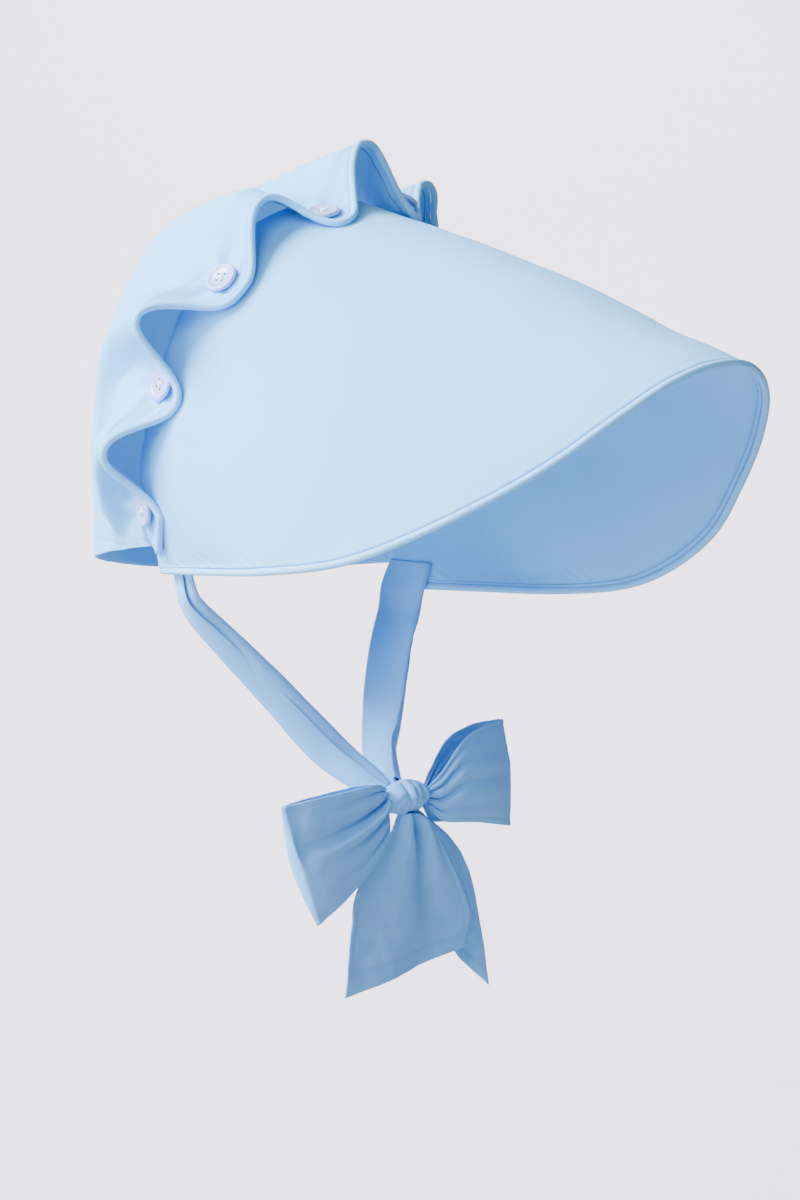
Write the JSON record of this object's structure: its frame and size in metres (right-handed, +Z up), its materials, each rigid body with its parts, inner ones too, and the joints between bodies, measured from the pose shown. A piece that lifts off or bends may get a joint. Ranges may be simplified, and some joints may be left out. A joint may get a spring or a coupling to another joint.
{
  "type": "sun bonnet",
  "caption": "Light blue cotton sun bonnet with a deep drooping brim, a ruffled crown buttoned to it and wide ties in a bow under the chin.",
  "frame": {"origin": "top of the arch at the back of the brim, on the middle plane, where the top of the head carries the bonnet", "axes": "+Z up, the wearer looks along -Y, the wearer's right side is -X"},
  "size_m": [0.2739, 0.4215, 0.4628],
  "materials": {
    "blue_cotton": "plain-weave light blue cotton",
    "blue_piping": "light blue cotton over cord",
    "button_plastic": "smooth off-white"
  },
  "bodies": {
    "root": {"brim": "blue_cotton", "brim_piping": "blue_piping", "crown": "blue_cotton", "crown_piping": "blue_piping", "button_1": "button_plastic", "button_2": "button_plastic", "button_3": "button_plastic", "button_4": "button_plastic", "button_5": "button_plastic", "button_6": "button_plastic", "button_7": "button_plastic", "button_8": "button_plastic", "tie_right": "blue_cotton", "tie_left": "blue_cotton", "bow_knot": "blue_cotton", "bow_loop_right": "blue_cotton", "bow_loop_left": "blue_cotton", "bow_tail_front": "blue_cotton", "bow_tail_rear": "blue_cotton"}
  },
  "joints": []
}
